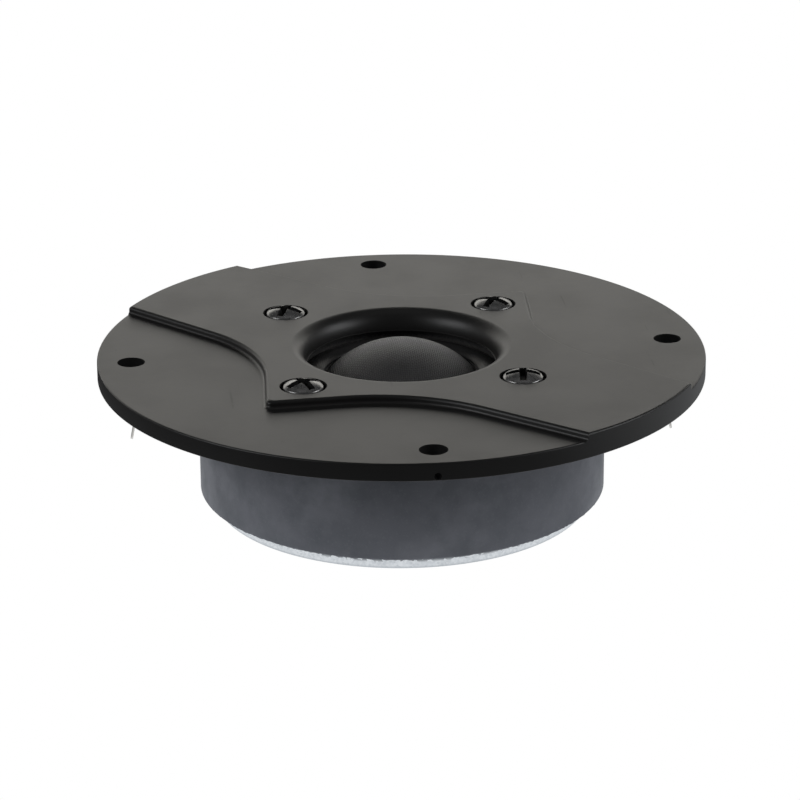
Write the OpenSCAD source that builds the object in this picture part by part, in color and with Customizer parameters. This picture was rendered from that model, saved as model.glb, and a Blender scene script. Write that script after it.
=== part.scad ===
// Flush-mount soft-dome tweeter: a round moulded face plate with a shallow waveguide, screwed to a
// ferrite motor, with a textile dome and voice coil that move along the axis.
// Origin on the axis at the back face of the flange, +Z towards the listener, mounting holes on X and Y.

/* [Face plate] */
// Outside diameter of the flange
flange_d = 104; // [100:1:112]
// Thickness of the flange at its low level
flange_t = 3; // [2.6:0.1:4]
// Height of the raised band above the low level
step_h = 1.25; // [0.6:0.05:2]
// Radius of the curve in the middle of each edge of the raised band
step_curve_r = 30; // [24:1:36]
// Distance from the axis to the narrowest place of the raised band
step_waist = 24.2; // [23.5:0.1:26]
// How far beside the axis the narrowest place lies
step_waist_shift = 10.3; // [8:0.1:12]
// Turn of the curve from its narrowest place to its straight run to the rim
step_rim_turn = 42; // [36:1:46]
// Turn of the curve from its narrowest place to its straight run to the corner
step_corner_turn = 3.5; // [1:0.5:6]
// Radius of the waveguide's throat
throat_r = 16.2; // [15.9:0.1:16.4]
// How far the waveguide's flare spreads from the throat out to the raised face
flare_w = 2.8; // [2.2:0.1:3.6]
// Height of the flare
flare_h = 3.4; // [3:0.1:3.8]

/* [Mounting holes] */
// Diameter of the circle of mounting holes
mount_pcd = 92.4; // [90:0.1:94]
// Diameter of each mounting hole
mount_hole_d = 4.5; // [3.5:0.1:4.8]
// Number of mounting holes
mount_holes = 4; // [4]

/* [Plate screws] */
// Diameter of the circle of plate screws
screw_pcd = 52; // [51:0.5:53]
// Diameter of the screw head
screw_head_d = 6.8; // [6:0.1:7.2]
// Diameter of the screw thread
screw_d = 3.9; // [3:0.1:4]
// Diameter of the recess that the head sits in
counterbore_d = 7.7; // [7.4:0.1:8]
// Depth of that recess below the raised face
counterbore_depth = 1.6; // [1.2:0.1:1.9]

/* [Diaphragm] */
// Radius of the dome at its base
dome_base_r = 13; // [12.9:0.05:13.1]
// Height of the dome
dome_h = 5.95; // [5:0.05:7]
// Thickness of the dome's cloth
dome_t = 0.3; // [0.2:0.05:0.4]
// Height of the surround's half roll
roll_h = 1.15; // [0.8:0.05:1.2]

/* [Motor] */
// Diameter of the ferrite ring
magnet_d = 69.9; // [66:0.1:72]
// Diameter of the hole in the ferrite ring
magnet_bore_d = 32; // [30:0.5:36]
// Thickness of the ferrite ring
magnet_t = 15.4; // [12:0.1:18]
// Diameter of the front steel plate
top_plate_d = 66.8; // [64:0.1:68]
// Thickness of the front steel plate
top_plate_t = 3.5; // [3:0.1:4]
// Diameter of the back steel plate
back_plate_d = 65; // [60:0.1:69]
// Thickness of the back steel plate
back_plate_t = 2.5; // [2.3:0.1:5]

/* [Terminals] */
// Angle of the positive terminal from the X axis
terminal_angle = -4.2; // [-8:0.1:-4.2]
// Width of a terminal tab
tab_w = 2; // [1.6:0.1:2]
// Thickness of a terminal tab
tab_t = 0.4; // [0.3:0.05:0.6]
// Distance from the axis to the tip of a tab
tab_tip_r = 46.8; // [46:0.1:47.4]
// How far the tip of a tab lies behind the flange
tab_tip_drop = 12.1; // [8:0.1:14]

/* [Hidden] */
$fn = 96;
cut = 0.2;                    // how far a cutting shape runs past the face that it opens

// Heights of the face plate
raised_z = flange_t + step_h;
throat_z = raised_z - flare_h;   // foot of the waveguide's flare
lip_z = throat_z - 0.15;      // underside of the throat's lip
boss_z = -0.2;                // underside of the boss that presses on the diaphragm
boss_r = 31.5;
cavity_r = 17.5;              // clear space round the surround, behind the lip
counterbore_z = raised_z - counterbore_depth;

// Pockets that keep the moulding's wall thickness even, on the back of the flange
pocket_inner_r = 33;
pocket_outer_r = 41.5;
pocket_depth = 1.2;
pocket_ribs = 6;
rib_w = 1.6;

// Stack behind the face plate, front to back
gasket_t = 0.4;
carrier_front_z = boss_z - gasket_t;
top_plate_z = -2;             // front face of the front steel plate
carrier_r = 31;
carrier_bore_r = 16.9;
land_z = -1.5;                // where the surround and the dome's base lie
land_r = 19.4;
cloth_t = 0.25;               // thickness of the surround
glue_t = 0.1;
magnet_front_z = top_plate_z - top_plate_t - glue_t;
magnet_back_z = magnet_front_z - magnet_t;
back_plate_z = magnet_back_z - glue_t;
back_z = back_plate_z - back_plate_t;

// Magnetic gap and coil
pole_r = 12.1;
pole_front_z = -2.5;
cap_t = 0.3;
former_r = 12.75;             // inside radius of the coil former
former_t = 0.15;
coil_t = 0.25;
coil_front_z = -2.6;
coil_h = 2;
former_back_z = -5.2;
gap_r = 13.5;                 // bore of the front steel plate
skirt_r = former_r + former_t + 0.3;    // outside of the dome's collar round the former
skirt_back_z = -2;
skirt_front_z = land_z + cloth_t;
dome_ball_r = (dome_base_r * dome_base_r + dome_h * dome_h) / (2 * dome_h);
dome_centre_z = land_z + dome_h - dome_ball_r;

// Pole piece
spigot_bore_r = 9;            // hole in the back plate
spigot_r = spigot_bore_r - 0.02;        // end of the pole that is staked into that hole
spigot_recess = 0.1;
cavity_pole_r = 5;
cavity_pole_depth = 6;
cap_side_depth = 5;
pad_r = 10.5;                 // felt pad on the pole
pad_t = 1;

// Screws and pins
screw_clearance_r = 2.2;
screw_tip_z = -5;
tapped_r = 2;
head_edge_h = 1.65;
head_crown_h = 2.6;
recess_w = 1;
recess_l = 4.2;
recess_depth = 1.5;
screw_turns = [100, 20, 72, 128];   // how far each cross recess is turned, screw by screw
pin_r = 0.9;
pin_circle_r = 28;
pin_angle = 90;

// Terminals, leads and the carrier's arms
tab_front_z = -1.05;
tab_back_z = tab_front_z - tab_t;
tab_inner_r = 22.2;
tab_bend_r = 44.6;            // where the tab turns down
tab_hole_r = 0.45;
arm_w = 5;
arm_end_r = 36.5;
arm_relief = 0.1;             // how much thinner an arm is than the carrier, on each face
slot_clearance = 0.1;
lead_d = 0.24;
post_places = [28, 33];       // distances of the staked posts from the axis
post_r = 0.45;
post_head_r = 0.85;

function polar(r, a) = [r * cos(a), r * sin(a)];
function mirrored_xy(points) = [for (i = [len(points) - 1:-1:0]) [points[i][1], points[i][0]]];

// ---- Face plate ----

// Edge of the raised band from beyond the rim to the corner: straight, curved, straight.
function step_edge() =
    let (
        centre = [-step_waist - step_curve_r, -step_waist_shift],
        rim_end = centre + polar(step_curve_r, step_rim_turn),
        corner_end = centre + polar(step_curve_r, -step_corner_turn),
        beyond = rim_end + polar(flange_d / 2, step_rim_turn + 90),
        run = (corner_end[0] - corner_end[1]) / (sin(step_corner_turn) - cos(step_corner_turn)),
        corner = corner_end + run * [-sin(step_corner_turn), -cos(step_corner_turn)]
    )
    concat(
        [beyond],
        [for (i = [0:14]) centre
            + polar(step_curve_r, step_rim_turn - i * (step_rim_turn + step_corner_turn) / 14)],
        [corner]
    );

// The low field on one side of the raised band.
module low_field() {
    edge = step_edge();
    outside = -flange_d;
    polygon(concat(
        edge,
        [for (i = [1:len(edge) - 1]) mirrored_xy(edge)[i]],
        [[edge[0][1], outside], [outside, outside], [outside, edge[0][1]]]
    ));
}

module raised_band() {
    linear_extrude(step_h) difference() {
        circle(d = flange_d);
        low_field();
        rotate(180) low_field();
    }
}

// Space inside the waveguide, down past the lip to the clear space round the surround.
module throat_space() {
    top = raised_z + cut;
    flare = [for (a = [0:7.5:90])
        [throat_r + flare_w * (1 - cos(a)), raised_z - (raised_z - throat_z) * (1 - sin(a))]];
    rotate_extrude() polygon(concat(
        [[0, boss_z - cut], [cavity_r, boss_z - cut], [cavity_r, lip_z], [throat_r, lip_z]],
        flare,
        [[throat_r + flare_w, top], [0, top]]
    ));
}

module rear_pockets() {
    translate([0, 0, -cut]) difference() {
        cylinder(r = pocket_outer_r, h = pocket_depth + cut);
        translate([0, 0, -cut]) cylinder(r = pocket_inner_r, h = pocket_depth + 3 * cut);
        for (i = [0:pocket_ribs - 1]) rotate(15 + i * 180 / pocket_ribs)
            translate([-flange_d / 2, -rib_w / 2, -cut]) cube([flange_d, rib_w, pocket_depth + 3 * cut]);
    }
}

module at_screws() {
    for (i = [0:3]) rotate(45 + i * 90) translate([screw_pcd / 2, 0, 0]) children();
}

module face_plate() {
    color("#4b4a48") difference() {
        union() {
            cylinder(d = flange_d, h = flange_t);
            translate([0, 0, flange_t]) raised_band();
            translate([0, 0, boss_z]) cylinder(r = boss_r, h = -boss_z);
        }
        throat_space();
        rear_pockets();
        for (i = [0:mount_holes - 1]) rotate(i * 360 / mount_holes)
            translate([mount_pcd / 2, 0, -cut]) cylinder(d = mount_hole_d, h = flange_t + 2 * cut);
        at_screws() {
            translate([0, 0, counterbore_z]) cylinder(d = counterbore_d, h = counterbore_depth + cut);
            translate([0, 0, boss_z - cut]) cylinder(r = screw_clearance_r, h = flange_t + 2 * cut);
        }
    }
}

// Pan-head machine screw with a cross recess, its head resting at z = 0.
module pan_screw(turn) {
    crown = head_crown_h - head_edge_h;
    ball_r = (screw_head_d * screw_head_d / 4 + crown * crown) / (2 * crown);
    difference() {
        union() {
            intersection() {
                cylinder(d = screw_head_d, h = head_crown_h);
                translate([0, 0, head_crown_h - ball_r]) sphere(r = ball_r);
            }
            translate([0, 0, screw_tip_z - counterbore_z])
                cylinder(d = screw_d, h = counterbore_z - screw_tip_z);
        }
        for (a = [0, 90]) rotate(turn + a)
            translate([-recess_l / 2, -recess_w / 2, head_crown_h - recess_depth])
                cube([recess_l, recess_w, recess_depth + cut]);
    }
}

module plate_screws() {
    color("#8d8f92") for (i = [0:3])
        rotate(45 + i * 90) translate([screw_pcd / 2, 0, counterbore_z]) pan_screw(screw_turns[i]);
}

// ---- Parts clamped between the face plate and the motor ----

module flat_ring(inner_r, outer_r, back_z, front_z) {
    translate([0, 0, back_z]) difference() {
        cylinder(r = outer_r, h = front_z - back_z);
        translate([0, 0, -cut]) cylinder(r = inner_r, h = front_z - back_z + 2 * cut);
    }
}

module front_gasket() {
    color("#2c2c2c") difference() {
        flat_ring(cavity_r, carrier_r - 0.4, carrier_front_z, boss_z);
        at_screws() translate([0, 0, carrier_front_z - cut]) cylinder(r = 2.6, h = gasket_t + 2 * cut);
    }
}

module clamp_ring() {
    color("#2b2a28") flat_ring(cavity_r, land_r, land_z + cloth_t, carrier_front_z);
}

module at_terminals() {
    for (a = [0, 180]) rotate(terminal_angle + a) children();
}

module staked_post(place) {
    translate([place, 0, tab_back_z]) cylinder(r = post_r, h = tab_t);
    translate([place, 0, tab_front_z]) cylinder(r = post_head_r, h = 0.3);
}

module diaphragm_carrier() {
    h = carrier_front_z - top_plate_z;
    slot_w = tab_w + 2 * slot_clearance;
    color("#26272a") {
        difference() {
            union() {
                flat_ring(carrier_bore_r, carrier_r, top_plate_z, carrier_front_z);
                at_terminals() translate([carrier_r - 2, -arm_w / 2, top_plate_z + arm_relief])
                    cube([arm_end_r - carrier_r + 2, arm_w, h - 2 * arm_relief]);
            }
            translate([0, 0, land_z]) cylinder(r = land_r, h = h);
            at_screws() translate([0, 0, top_plate_z - cut])
                cylinder(r = screw_clearance_r, h = h + 2 * cut);
            at_terminals() {
                translate([tab_inner_r - slot_clearance, -slot_w / 2, tab_back_z])
                    cube([arm_end_r, slot_w, h]);
                translate([carrier_bore_r - 1, -0.4, top_plate_z - cut])
                    cube([tab_inner_r - carrier_bore_r + 1, 0.8, h + 2 * cut]);
            }
            for (a = [0, 180]) rotate(pin_angle + a)
                translate([pin_circle_r, 0, top_plate_z - cut]) cylinder(r = pin_r, h = h + 2 * cut);
        }
        at_terminals() for (place = post_places) staked_post(place);
    }
}

module locating_pins() {
    color("#b8bcc0") for (a = [0, 180]) rotate(pin_angle + a)
        translate([pin_circle_r, 0, top_plate_z - 2.2]) cylinder(r = pin_r, h = 3.3);
}

// Tab that runs out under the flange and turns down past the motor.
module terminal_tab() {
    fall = tab_front_z + tab_tip_drop;
    lean = tab_tip_r - tab_bend_r;
    steps = 5;
    bend = atan2(fall, lean);
    outer_bend_r = 0.9;
    inner_bend_r = outer_bend_r - tab_t;
    back_off = outer_bend_r * tan(bend / 2);
    bend_centre = [tab_bend_r - back_off, tab_front_z - outer_bend_r];
    down = [cos(bend), -sin(bend)];
    inward = [-sin(bend), -cos(bend)];
    tip = [tab_bend_r, tab_front_z] + (fall / sin(bend)) * down;
    outline = concat(
        [[tab_inner_r, tab_back_z], [tab_inner_r, tab_front_z]],
        [for (i = [0:steps]) bend_centre + polar(outer_bend_r, 90 - i * bend / steps)],
        [tip, tip + tab_t * inward],
        [for (i = [steps:-1:0]) bend_centre + polar(inner_bend_r, 90 - i * bend / steps)]
    );
    difference() {
        rotate([90, 0, 0]) linear_extrude(tab_w, center = true) polygon(outline);
        for (place = post_places) translate([place, 0, tab_back_z - cut])
            cylinder(r = post_r, h = tab_t + 2 * cut);
        translate([tip[0] - 2 * down[0], 0, tip[1] - 2 * down[1]]) rotate([0, bend, 0])
            cylinder(r = tab_hole_r, h = 4, center = true);
        for (side = [-1, 1]) translate([tip[0], side * tab_w / 2, tip[1]])
            rotate([45, 0, 0]) cube([4, 0.9, 0.9], center = true);
    }
}

module terminal_positive() {
    color("#c9c3b4") rotate(terminal_angle) terminal_tab();
}

module terminal_negative() {
    color("#c9c3b4") rotate(terminal_angle + 180) terminal_tab();
}

module solder_joints() {
    color("#c4c8cc") at_terminals() translate([tab_inner_r + 0.7, 0, tab_front_z]) intersection() {
        cylinder(r = 0.6, h = 0.35);
        translate([0, 0, -0.35]) sphere(r = 0.7);
    }
}

// Braided lead from the coil's collar, through the carrier's slot, up onto the tab.
module lead_out() {
    route = [
        [skirt_r + 0.05, -1.66], [14, -1.72], [15, -1.8], [16, -1.8], [18, -1.78], [20, -1.72],
        [21, -1.5], [21.6, -1.15], [22, tab_front_z + lead_d / 2], [22.5, tab_front_z + lead_d / 2]
    ];
    n = len(route);
    sides = 8;
    function heading(i) =
        let (a = route[max(i - 1, 0)], b = route[min(i + 1, n - 1)])
        atan2(b[1] - a[1], b[0] - a[0]);
    points = [for (i = [0:n - 1]) for (k = [0:sides - 1])
        let (
            h = heading(i),
            across = lead_d / 2 * cos(k * 360 / sides),
            up = lead_d / 2 * sin(k * 360 / sides)
        )
        [route[i][0] - up * sin(h), across, route[i][1] + up * cos(h)]];
    sides_faces = [for (i = [0:n - 2]) for (k = [0:sides - 1])
        let (a = i * sides + k, b = i * sides + (k + 1) % sides)
        [a, b, b + sides, a + sides]];
    ends = [[for (k = [sides - 1:-1:0]) k], [for (k = [0:sides - 1]) (n - 1) * sides + k]];
    polyhedron(points, concat(sides_faces, ends));
}

module lead_out_positive() {
    color("#b5703c") rotate(terminal_angle) lead_out();
}

module lead_out_negative() {
    color("#b5703c") rotate(terminal_angle + 180) lead_out();
}

// ---- Diaphragm ----

// Half roll between the dome's collar and the carrier, with a flat rim that is glued down.
module surround() {
    mid_r = (skirt_r + carrier_bore_r) / 2;
    half_w = (carrier_bore_r - skirt_r) / 2;
    steps = 12;
    outer = [for (i = [0:steps]) let (a = 180 - i * 180 / steps)
        [mid_r + half_w * cos(a), skirt_front_z + (roll_h - cloth_t) * sin(a)]];
    inner = [for (i = [steps:-1:0]) let (a = 180 - i * 180 / steps)
        [mid_r + (half_w - cloth_t) * cos(a), land_z + (roll_h - cloth_t) * sin(a)]];
    color("#33322f") rotate_extrude() polygon(concat(
        [[skirt_r, land_z]],
        outer,
        [[land_r - 0.1, skirt_front_z], [land_r - 0.1, land_z]],
        inner
    ));
}

module dome() {
    color("#454340") {
        intersection() {
            difference() {
                translate([0, 0, dome_centre_z]) sphere(r = dome_ball_r);
                translate([0, 0, dome_centre_z]) sphere(r = dome_ball_r - dome_t);
            }
            translate([0, 0, land_z]) cylinder(r = dome_base_r + 1, h = dome_h + 1);
        }
        flat_ring(former_r + former_t, skirt_r, skirt_back_z, land_z);
        flat_ring(dome_base_r - 0.02, skirt_r, land_z, skirt_front_z);
    }
}

module coil_former() {
    color("#b9bec4") flat_ring(former_r, former_r + former_t, former_back_z, land_z);
}

module former_glue_bead() {
    color("#8a6f3a") flat_ring(former_r - 0.2, former_r, land_z - 0.35, land_z);
}

module voice_coil() {
    color("#b5703c")
        flat_ring(former_r + former_t, former_r + former_t + coil_t, coil_front_z - coil_h, coil_front_z);
}

// ---- Motor ----

module top_plate() {
    color("#9a9da1") difference() {
        translate([0, 0, top_plate_z - top_plate_t]) cylinder(d = top_plate_d, h = top_plate_t);
        translate([0, 0, top_plate_z - top_plate_t - cut]) cylinder(r = gap_r, h = top_plate_t + 2 * cut);
        at_screws() translate([0, 0, top_plate_z - top_plate_t - cut])
            cylinder(r = tapped_r, h = top_plate_t + 2 * cut);
        for (a = [0, 180]) rotate(pin_angle + a)
            translate([pin_circle_r, 0, top_plate_z - 2.2]) cylinder(r = pin_r, h = 3);
    }
}

module magnet_ring() {
    color("#55585e") flat_ring(magnet_bore_d / 2, magnet_d / 2, magnet_back_z, magnet_front_z);
}

module front_glue_ring() {
    color("#6d5a33")
        flat_ring(magnet_bore_d / 2 + 1, top_plate_d / 2 - 0.5, magnet_front_z, magnet_front_z + glue_t);
}

module rear_glue_ring() {
    color("#6d5a33")
        flat_ring(magnet_bore_d / 2 + 1, back_plate_d / 2 - 0.2, magnet_back_z - glue_t, magnet_back_z);
}

module back_plate() {
    color("#c6cacd") flat_ring(spigot_bore_r, back_plate_d / 2, back_z, back_plate_z);
}

module pole_piece() {
    color("#9a9da1") difference() {
        union() {
            translate([0, 0, back_plate_z]) cylinder(r = pole_r, h = pole_front_z - back_plate_z);
            translate([0, 0, back_z + spigot_recess])
                cylinder(r = spigot_r, h = back_plate_t - spigot_recess);
        }
        translate([0, 0, pole_front_z - cavity_pole_depth])
            cylinder(r = cavity_pole_r, h = cavity_pole_depth + cut);
    }
}

module copper_cap() {
    color("#b8683a") {
        flat_ring(cavity_pole_r, pole_r + cap_t, pole_front_z, pole_front_z + cap_t);
        flat_ring(pole_r, pole_r + cap_t, pole_front_z - cap_side_depth, pole_front_z);
    }
}

module pole_felt() {
    color("#7c7a76") translate([0, 0, pole_front_z - cavity_pole_depth])
        cylinder(r = cavity_pole_r, h = cavity_pole_depth);
}

module dome_damping_pad() {
    front_z = pole_front_z + cap_t;
    color("#6f6d69") flat_ring(cavity_pole_r + 0.2, pad_r, front_z, front_z + pad_t);
}

face_plate();
plate_screws();
front_gasket();
clamp_ring();
diaphragm_carrier();
terminal_positive();
terminal_negative();
solder_joints();
lead_out_positive();
lead_out_negative();
surround();
dome();
former_glue_bead();
coil_former();
voice_coil();
dome_damping_pad();
pole_felt();
copper_cap();
pole_piece();
top_plate();
locating_pins();
front_glue_ring();
magnet_ring();
rear_glue_ring();
back_plate();
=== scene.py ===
"""Looks of a flush-mount soft-dome tweeter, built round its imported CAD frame.

The face plate, screws, dome, surround, magnet and tabs are modelled here in fine mesh; the inner parts keep
their CAD shape and get worked finishes. Sizes are in millimetres; the helpers turn them into metres.
"""

import math

import bmesh
import bpy
from mathutils import Matrix, Vector
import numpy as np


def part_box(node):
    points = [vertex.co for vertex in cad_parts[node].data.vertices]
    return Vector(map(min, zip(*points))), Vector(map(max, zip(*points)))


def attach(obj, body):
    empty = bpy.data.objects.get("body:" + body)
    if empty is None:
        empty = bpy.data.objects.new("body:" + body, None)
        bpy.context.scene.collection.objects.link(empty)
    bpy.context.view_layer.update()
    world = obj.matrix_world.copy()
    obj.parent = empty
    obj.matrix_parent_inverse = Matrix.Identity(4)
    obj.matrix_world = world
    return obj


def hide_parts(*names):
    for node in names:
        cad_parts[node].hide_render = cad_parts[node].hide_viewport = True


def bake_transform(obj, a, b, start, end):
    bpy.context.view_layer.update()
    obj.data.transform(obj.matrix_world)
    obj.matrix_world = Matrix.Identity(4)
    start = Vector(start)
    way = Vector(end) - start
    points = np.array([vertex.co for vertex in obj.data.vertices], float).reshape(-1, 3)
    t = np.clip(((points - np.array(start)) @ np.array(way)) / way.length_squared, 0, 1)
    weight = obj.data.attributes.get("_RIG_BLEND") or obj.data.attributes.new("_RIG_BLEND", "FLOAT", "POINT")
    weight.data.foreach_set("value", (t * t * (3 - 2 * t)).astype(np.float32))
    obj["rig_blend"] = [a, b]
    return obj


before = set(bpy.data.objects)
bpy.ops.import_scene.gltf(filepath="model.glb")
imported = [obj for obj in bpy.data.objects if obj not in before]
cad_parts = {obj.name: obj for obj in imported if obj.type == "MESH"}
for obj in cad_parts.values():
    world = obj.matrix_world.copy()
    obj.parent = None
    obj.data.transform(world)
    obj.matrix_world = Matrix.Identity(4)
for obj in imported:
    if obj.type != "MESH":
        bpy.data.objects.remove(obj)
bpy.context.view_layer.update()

MM = 0.001
MERGE_GAP = 0.0005 * MM

# ---- Sizes, in millimetres ----

plate_low, plate_high = (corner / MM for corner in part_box("face_plate"))
FLANGE_R = plate_high.x
RAISED_Z = plate_high.z
BOSS_Z = plate_low.z
FLANGE_T = 3.0
BOSS_R = 31.5
THROAT_R = 16.2
FLARE_W = 2.8
FLARE_H = 3.4
THROAT_Z = RAISED_Z - FLARE_H
LIP_Z = THROAT_Z - 0.15
CAVITY_R = 17.5
STEP_CURVE_R = 30.0
STEP_WAIST = 24.2
STEP_WAIST_SHIFT = 10.3
STEP_RIM_TURN = 42.0
STEP_CORNER_TURN = 3.5
STEP_CORNER_ROUND = 1.2
STEP_TOE_R = 0.5
STEP_CREST_R = 0.6
RIM_EDGE_R = 0.4
RIM_BACK_EDGE_R = 0.12
THROAT_LEDGE = 0.14
LIP_EDGE = 0.03
BOSS_EDGE = 0.15
LOW_RIM_EDGE_R = 0.3
MOUNT_R = 46.2
MOUNT_HOLE_R = 2.25
HOLE_EDGE = 0.12
SCREW_PLACE_R = 26.0
COUNTERBORE_R = 3.85
COUNTERBORE_Z = RAISED_Z - 1.6
SCREW_CLEARANCE_R = 2.2
POCKET_INNER_R = 33.0
POCKET_OUTER_R = 41.5
POCKET_DEPTH = 1.2
POCKET_FLOOR_R = 0.25
POCKETS = 12
POCKET_TURN = 15
RIB_W = 1.6
GATE_MARK_R = 0.65
GATE_MARK_Z = 0.75
TERMINAL_ANGLE = -4.2
HEAD_R = 3.4
HEAD_EDGE_H = 1.65
HEAD_CROWN_H = 2.6
HEAD_SHOULDER_R = 0.45
HEAD_FOOT_EDGE = 0.25
SCREW_END = 5.0
SCREW_TURNS = [100, 20, 72, 128]
THREAD_R = 1.95
THREAD_ROOT_R = 1.6
THREAD_PITCH = 0.7
RECESS_L = 7.8
RECESS_W = 1.45
RECESS_DEPTH = 1.5
RECESS_OVER = 0.3
RECESS_TAPER = 0.5
RECESS_EDGE_R = 0.07
LAND_Z = -1.5
LAND_R = 19.4
CLOTH_T = 0.25
ROLL_H = 1.15
CARRIER_BORE_R = 16.9
FORMER_OUT_R = 12.9
SKIRT_R = 13.2
SKIRT_FRONT_Z = LAND_Z + CLOTH_T
SKIRT_BACK_Z = -2.0
SURROUND_LAP_R = 12.55
SURROUND_LAP_T = 0.12
SURROUND_LAP_GAP = 0.02
COLLAR_EDGE = 0.06
DOME_BASE_R = 13.0
DOME_H = 5.95
DOME_T = 0.3
CLOTH_PITCH = 0.36
DOME_BALL_R = (DOME_BASE_R * DOME_BASE_R + DOME_H * DOME_H) / (2 * DOME_H)
DOME_CENTRE_Z = LAND_Z + DOME_H - DOME_BALL_R
DENT_ANGLE = 12
DENT_UP_ANGLE = 45
DENT_R = 0.8
DENT_DEPTH = 0.2
COIL_FRONT_Z = -2.6
COIL_H = 2.0
COIL_WIRES = 8
MAGNET_R = 34.95
MAGNET_BORE_R = 16.0
MAGNET_FRONT_Z = -5.6
MAGNET_BACK_Z = -21.0
MAGNET_EDGE = 0.25
MAGNET_CHIPS = 0.13
BACK_PLATE_R = 32.5
BACK_PLATE_Z = -21.1
BACK_PLATE_ROLL_R = 0.5
BACK_PLATE_EDGE = 0.25
SPIGOT_BORE_R = 9.0
SPIGOT_EDGE = 0.2
TAB_W = 2.0
TAB_T = 0.4
TAB_FRONT_Z = -1.05
TAB_INNER_R = 22.2
TAB_BEND_R = 44.6
TAB_TIP_R = 46.8
TAB_TIP_DROP = 12.1
TAB_HOLE_R = 0.45
TAB_HOLE_SET = 2.0
TAB_TIP_CORNER_R = 0.7
TAB_EDGE_R = 0.06
BEND_R = 0.9
LEAD_STRANDS = 3
LEAD_STRAND_R = 0.06
LEAD_TWIST_R = 0.06
LEAD_TWIST = 2700
LEAD_STEPS = 90
# The lead's way out, as (distance from axis, height).
LEAD_ROUTE = [
    (13.27, -1.66), (14, -1.72), (15, -1.8), (16, -1.8), (17, -1.8), (18, -1.78), (19, -1.76), (20, -1.72),
    (21, -1.5), (21.6, -1.15), (22, -0.93), (22.5, -0.93),
]


# ---- Modelling helpers: places and sizes in millimetres ----

def polar(radius, degrees):
    return radius * math.cos(math.radians(degrees)), radius * math.sin(math.radians(degrees))


def arc(centre, radius, start, end, steps):
    """Points along an arc in a plane, from one angle to another."""
    turns = [start + (end - start) * i / steps for i in range(steps + 1)]
    return [(centre[0] + polar(radius, a)[0], centre[1] + polar(radius, a)[1]) for a in turns]


def pick(*pieces):
    bpy.ops.object.select_all(action="DESELECT")
    for piece in pieces:
        piece.select_set(True)
    bpy.context.view_layer.objects.active = pieces[0]


def enter_edit(piece):
    pick(piece)
    bpy.ops.object.mode_set(mode="EDIT")
    bpy.ops.mesh.select_mode(type="VERT")


def leave_edit():
    bpy.ops.object.mode_set(mode="OBJECT")


def pick_none():
    if bpy.context.object and bpy.context.object.mode != "OBJECT":
        bpy.ops.object.mode_set(mode="OBJECT")
    bpy.ops.object.select_all(action="DESELECT")


def select_by(piece, wanted):
    """In edit mode, selects the vertices whose place in millimetres is wanted, and the edges between them."""
    bpy.ops.mesh.select_mode(type="VERT")
    bpy.ops.mesh.select_all(action="DESELECT")
    mesh = bmesh.from_edit_mesh(piece.data)
    for vertex in mesh.verts:
        vertex.select = wanted(vertex.co / MM)
    mesh.select_flush_mode()
    bmesh.update_edit_mesh(piece.data)


def draw_line(name, points, closed=True):
    """A line of edges, extruded vertex by vertex through points in space. Stays in edit mode."""
    pick_none()
    places = [Vector(p) * MM for p in points]
    bpy.ops.mesh.primitive_plane_add(size=MM, location=places[0])
    piece = bpy.context.object
    piece.name = piece.data.name = name
    bpy.ops.object.transform_apply(location=True)
    bpy.ops.object.mode_set(mode="EDIT")
    bpy.ops.mesh.select_mode(type="VERT")
    bpy.ops.mesh.select_all(action="SELECT")
    bpy.ops.mesh.merge(type="CENTER")
    for here, there in zip(places, places[1:]):
        bpy.ops.mesh.extrude_region_move(TRANSFORM_OT_translate={"value": there - here})
    if closed:
        bpy.ops.mesh.extrude_region_move(TRANSFORM_OT_translate={"value": places[0] - places[-1]})
        bpy.ops.mesh.select_all(action="SELECT")
        bpy.ops.mesh.remove_doubles(threshold=MERGE_GAP)
    return piece


def turned(name, outline, segments=192, closed=True, angle=360.0, start=0.0):
    """A turned piece: an outline of (radius, height) points spun round the axis."""
    c, s = polar(1, start)
    piece = draw_line(name, [(r * c, r * s, z) for r, z in outline], closed)
    bpy.ops.mesh.select_all(action="SELECT")
    if angle < 360:
        bpy.ops.mesh.edge_face_add()
    bpy.ops.mesh.spin(steps=segments, angle=math.radians(angle), center=(0, 0, 0), axis=(0, 0, 1))
    bpy.ops.mesh.select_all(action="SELECT")
    bpy.ops.mesh.remove_doubles(threshold=MERGE_GAP)
    bpy.ops.mesh.normals_make_consistent(inside=False)
    leave_edit()
    return piece


def turned_copy(piece, degrees):
    """A copy with its own mesh, turned round the axis."""
    twin = piece.copy()
    twin.data = piece.data.copy()
    bpy.context.collection.objects.link(twin)
    twin.data.transform(Matrix.Rotation(math.radians(degrees), 4, "Z"))
    return twin


def joined(name, pieces):
    pick(*pieces)
    bpy.ops.object.join()
    piece = bpy.context.object
    piece.name = piece.data.name = name
    return piece


def apply_modifier(piece, kind, **settings):
    pick(piece)
    modifier = piece.modifiers.new(kind.lower(), kind)
    for key, value in settings.items():
        setattr(modifier, key, value)
    bpy.ops.object.modifier_apply(modifier=modifier.name)


def cut_away(piece, cutter):
    apply_modifier(piece, "BOOLEAN", operation="DIFFERENCE", solver="EXACT", object=cutter)
    bpy.data.objects.remove(cutter)


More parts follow.
